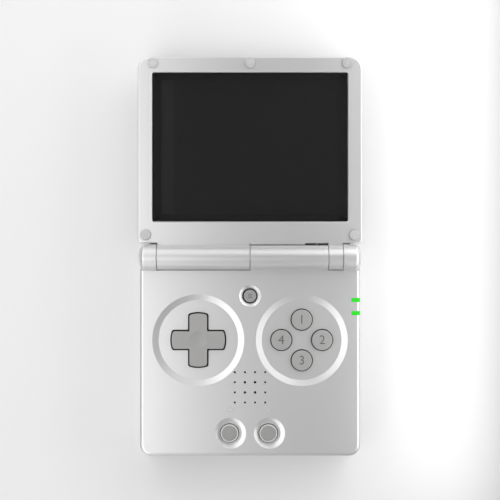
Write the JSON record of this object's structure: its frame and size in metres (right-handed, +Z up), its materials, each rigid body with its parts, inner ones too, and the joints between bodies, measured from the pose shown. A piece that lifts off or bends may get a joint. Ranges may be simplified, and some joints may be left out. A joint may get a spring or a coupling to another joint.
{
  "type": "handheld lcd game",
  "caption": "Clamshell handheld game that opens flat: a screen in the lid, and a cross pad, round buttons and a speaker grille in the base.",
  "frame": {"origin": "middle of the open footprint, on the table under the feet", "axes": "+X to the player's right, +Y from the controls towards the screen, +Z up out of the controls; the lid is stored open flat"},
  "size_m": [0.089, 0.1582, 0.0229],
  "materials": {
    "silver_shell": "moulded plastic sprayed satin silver under a thin clear coat",
    "grey_key": "mid grey moulded plastic, satin, coloured right through",
    "silver_rubber": "soft grey rubber, close to the shell's colour",
    "dark_rubber": "dark grey rubber with a fine texture",
    "screen_glass": "flat toughened glass, polished",
    "black_film": "black printed film and adhesive",
    "display_cell": "switched-off liquid crystal cell, near black under its polariser",
    "white_plastic": "white moulded plastic",
    "black_plastic": "black moulded plastic",
    "black_foam": "black closed-cell foam",
    "black_cloth": "black woven acoustic cloth",
    "grey_rubber": "translucent grey silicone",
    "circuit_board": "glass-fibre board with green solder mask",
    "bare_steel": "plated steel",
    "dark_steel": "black zinc plated steel",
    "battery_foil": null,
    "green_lens": "clear green plastic, lit from inside",
    "cable_film": "amber flat flexible cable"
  },
  "bodies": {
    "base": {"base_top_shell": "silver_shell", "base_bottom_shell": "silver_shell", "battery_door": "silver_shell", "battery_pack": "battery_foil", "main_board": "circuit_board", "processor_shield": "bare_steel", "speaker": "black_plastic", "speaker_gasket": "black_foam", "grille_cloth": "black_cloth", "dpad_membrane": "grey_rubber", "face_button_membrane": "grey_rubber", "start_select_membrane": "grey_rubber", "menu_switch": "black_plastic", "side_switches": "bare_steel", "shoulder_boards": "circuit_board", "usb_port": "bare_steel", "headphone_jack": "black_plastic", "card_sockets": "bare_steel", "led_light_pipes": "green_lens", "led_chips": "white_plastic", "hall_sensor": "black_plastic", "base_screws": "dark_steel", "battery_door_screw": "dark_steel", "feet": "dark_rubber", "hinge_cap_left": "silver_shell", "hinge_cap_right": "silver_shell", "hinge_shaft": "bare_steel", "hinge_centre_pin": "bare_steel", "hinge_sleeve": "bare_steel", "display_cable_base": "cable_film"},
    "lid": {"lid_bezel": "silver_shell", "lid_back_shell": "silver_shell", "screen_glass": "screen_glass", "glass_tape": "black_film", "lcd_panel": "display_cell", "lcd_backlight": "white_plastic", "lcd_foam_pads": "black_foam", "lid_bumpers_far": "silver_rubber", "lid_bumpers_near": "silver_rubber", "lid_screws": "dark_steel", "lid_magnet": "bare_steel", "hinge_cartridge": "bare_steel", "hinge_friction_washers": "bare_steel", "hinge_disc_springs": "bare_steel", "display_cable_lid": "cable_film"},
    "dpad_pivot": {"dpad_pivot": "black_plastic"},
    "dpad": {"dpad": "grey_key"},
    "face_button_right": {"face_button_right": "grey_key"},
    "face_button_near": {"face_button_near": "grey_key"},
    "face_button_left": {"face_button_left": "grey_key"},
    "face_button_far": {"face_button_far": "grey_key"},
    "start_button": {"start_button": "grey_key"},
    "select_button": {"select_button": "grey_key"},
    "menu_button": {"menu_button": "grey_key"},
    "shoulder_inner_left": {"shoulder_inner_left": "grey_key"},
    "shoulder_outer_left": {"shoulder_outer_left": "grey_key"},
    "shoulder_inner_right": {"shoulder_inner_right": "grey_key"},
    "shoulder_outer_right": {"shoulder_outer_right": "grey_key"},
    "power_button": {"power_button": "grey_key"},
    "volume_rocker": {"volume_rocker": "grey_key"}
  },
  "joints": [
    {"name": "lid_hinge", "type": "hinge", "parent": "base", "child": "lid", "pos_m": [0, -0.0005, 0.0177], "axis": [1, 0, 0], "range_deg": [0, 180]},
    {"name": "dpad_tilt_front_back", "type": "hinge", "parent": "base", "child": "dpad_pivot", "pos_m": [-0.0205, -0.0332, 0.01145], "axis": [1, 0, 0], "range_deg": [-3, 3], "stiffness_Nm_per_rad": 0.6},
    {"name": "dpad_tilt_left_right", "type": "hinge", "parent": "dpad_pivot", "child": "dpad", "pos_m": [-0.0205, -0.0332, 0.01145], "axis": [0, 1, 0], "range_deg": [-3, 3], "stiffness_Nm_per_rad": 0.6},
    {"name": "face_button_right_press", "type": "slide", "parent": "base", "child": "face_button_right", "axis": [0, 0, -1], "range_m": [0, 0.0008], "stiffness_N_per_m": 900},
    {"name": "face_button_near_press", "type": "slide", "parent": "base", "child": "face_button_near", "axis": [0, 0, -1], "range_m": [0, 0.0008], "stiffness_N_per_m": 900},
    {"name": "face_button_left_press", "type": "slide", "parent": "base", "child": "face_button_left", "axis": [0, 0, -1], "range_m": [0, 0.0008], "stiffness_N_per_m": 900},
    {"name": "face_button_far_press", "type": "slide", "parent": "base", "child": "face_button_far", "axis": [0, 0, -1], "range_m": [0, 0.0008], "stiffness_N_per_m": 900},
    {"name": "start_button_press", "type": "slide", "parent": "base", "child": "start_button", "axis": [0, 0, -1], "range_m": [0, 0.0006], "stiffness_N_per_m": 900},
    {"name": "select_button_press", "type": "slide", "parent": "base", "child": "select_button", "axis": [0, 0, -1], "range_m": [0, 0.0006], "stiffness_N_per_m": 900},
    {"name": "menu_button_press", "type": "slide", "parent": "base", "child": "menu_button", "axis": [0, 0, -1], "range_m": [0, 0.0003], "stiffness_N_per_m": 900},
    {"name": "shoulder_inner_left_press", "type": "slide", "parent": "base", "child": "shoulder_inner_left", "axis": [0, -1, 0], "range_m": [0, 0.0008], "stiffness_N_per_m": 900},
    {"name": "shoulder_outer_left_press", "type": "slide", "parent": "base", "child": "shoulder_outer_left", "axis": [0, -1, 0], "range_m": [0, 0.0008], "stiffness_N_per_m": 900},
    {"name": "shoulder_inner_right_press", "type": "slide", "parent": "base", "child": "shoulder_inner_right", "axis": [0, -1, 0], "range_m": [0, 0.0008], "stiffness_N_per_m": 900},
    {"name": "shoulder_outer_right_press", "type": "slide", "parent": "base", "child": "shoulder_outer_right", "axis": [0, -1, 0], "range_m": [0, 0.0008], "stiffness_N_per_m": 900},
    {"name": "power_button_press", "type": "slide", "parent": "base", "child": "power_button", "axis": [-1, 0, 0], "range_m": [0, 0.0004], "stiffness_N_per_m": 900},
    {"name": "volume_rocker_tilt", "type": "hinge", "parent": "base", "child": "volume_rocker", "pos_m": [-0.0412, -0.032, 0.0127], "axis": [0, 0, 1], "range_deg": [-2.5, 2.5], "stiffness_Nm_per_rad": 0.5}
  ]
}
